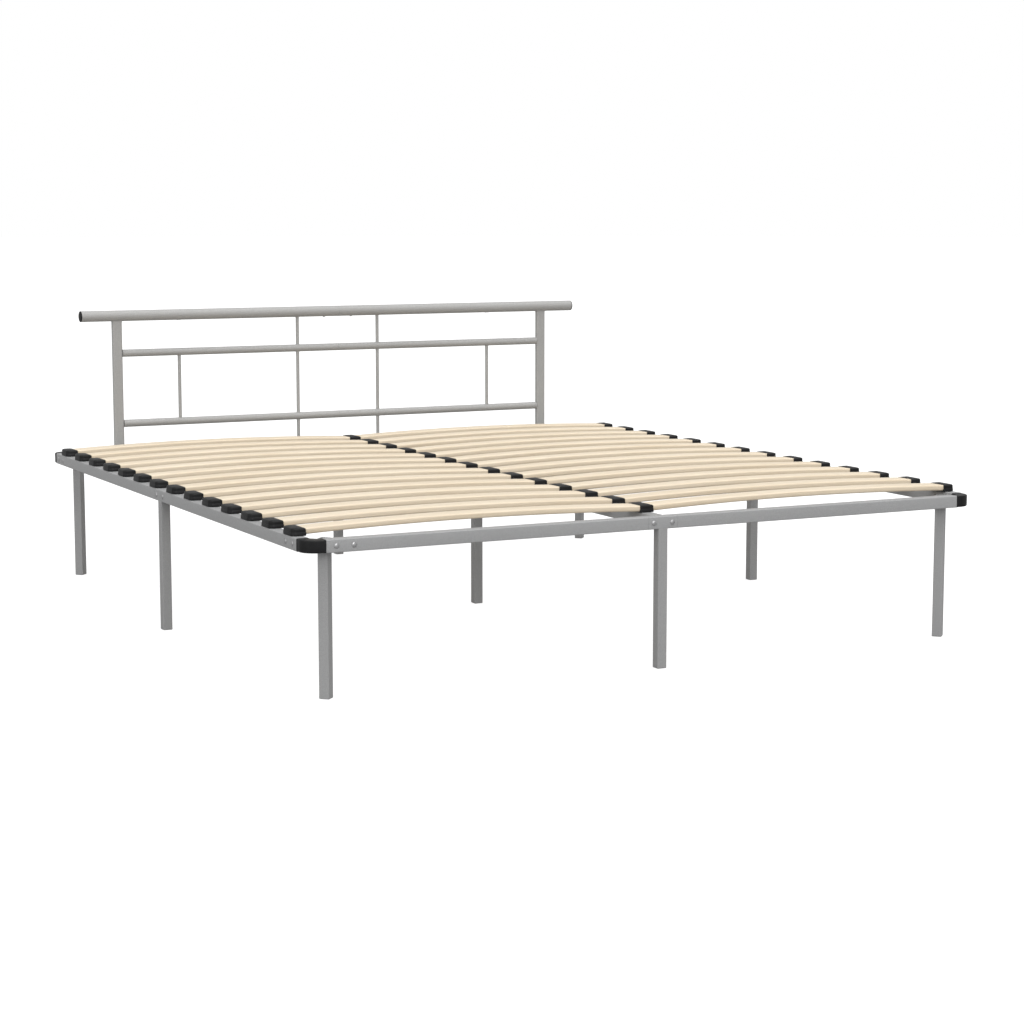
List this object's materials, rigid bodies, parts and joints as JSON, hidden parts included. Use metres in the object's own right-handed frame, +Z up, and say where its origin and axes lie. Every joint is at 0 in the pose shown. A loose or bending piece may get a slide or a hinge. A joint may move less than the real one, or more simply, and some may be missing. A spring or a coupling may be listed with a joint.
{
  "type": "metal bed frame",
  "caption": "Steel tube double bed frame on square legs, with a low tubular headboard and a base of sprung wooden slats held in black plastic holders.",
  "frame": {"origin": "on the floor, under the middle of the frame", "axes": "+Z up; +Y from the foot end to the headboard; +X to the right as seen from the foot end"},
  "size_m": [1.815, 2.037, 0.78],
  "materials": {
    "powder_coated_steel": "silver-grey powder coat with a fine metallic sparkle, satin",
    "black_plastic": "moulded black plastic, fine matt grain",
    "birch_plywood": "pale bent birch plywood, sealed, satin"
  },
  "bodies": {
    "root": {"side_rail_left": "powder_coated_steel", "side_rail_right": "powder_coated_steel", "foot_rail": "powder_coated_steel", "head_rail": "powder_coated_steel", "centre_beam": "powder_coated_steel", "leg_foot_left": "powder_coated_steel", "leg_foot_centre": "powder_coated_steel", "leg_foot_right": "powder_coated_steel", "leg_middle_left": "powder_coated_steel", "leg_middle_centre": "powder_coated_steel", "leg_middle_right": "powder_coated_steel", "leg_head_left": "powder_coated_steel", "leg_head_centre": "powder_coated_steel", "leg_head_right": "powder_coated_steel", "headboard_top_tube": "powder_coated_steel", "headboard_post_left": "powder_coated_steel", "headboard_post_right": "powder_coated_steel", "upper_cross_tube": "powder_coated_steel", "lower_cross_tube": "powder_coated_steel", "long_spindle_left": "powder_coated_steel", "long_spindle_right": "powder_coated_steel", "short_spindle_left": "powder_coated_steel", "short_spindle_right": "powder_coated_steel", "corner_joiner_foot_left": "black_plastic", "corner_joiner_foot_right": "black_plastic", "corner_joiner_head_left": "black_plastic", "corner_joiner_head_right": "black_plastic", "top_tube_cap_left": "black_plastic", "top_tube_cap_right": "black_plastic", "slat_holders_left": "black_plastic", "slat_holders_centre": "black_plastic", "slat_holders_right": "black_plastic", "slat_left_01": "birch_plywood", "slat_left_02": "birch_plywood", "slat_left_03": "birch_plywood", "slat_left_04": "birch_plywood", "slat_left_05": "birch_plywood", "slat_left_06": "birch_plywood", "slat_left_07": "birch_plywood", "slat_left_08": "birch_plywood", "slat_left_09": "birch_plywood", "slat_left_10": "birch_plywood", "slat_left_11": "birch_plywood", "slat_left_12": "birch_plywood", "slat_left_13": "birch_plywood", "slat_left_14": "birch_plywood", "slat_right_01": "birch_plywood", "slat_right_02": "birch_plywood", "slat_right_03": "birch_plywood", "slat_right_04": "birch_plywood", "slat_right_05": "birch_plywood", "slat_right_06": "birch_plywood", "slat_right_07": "birch_plywood", "slat_right_08": "birch_plywood", "slat_right_09": "birch_plywood", "slat_right_10": "birch_plywood", "slat_right_11": "birch_plywood", "slat_right_12": "birch_plywood", "slat_right_13": "birch_plywood", "slat_right_14": "birch_plywood"}
  },
  "joints": []
}
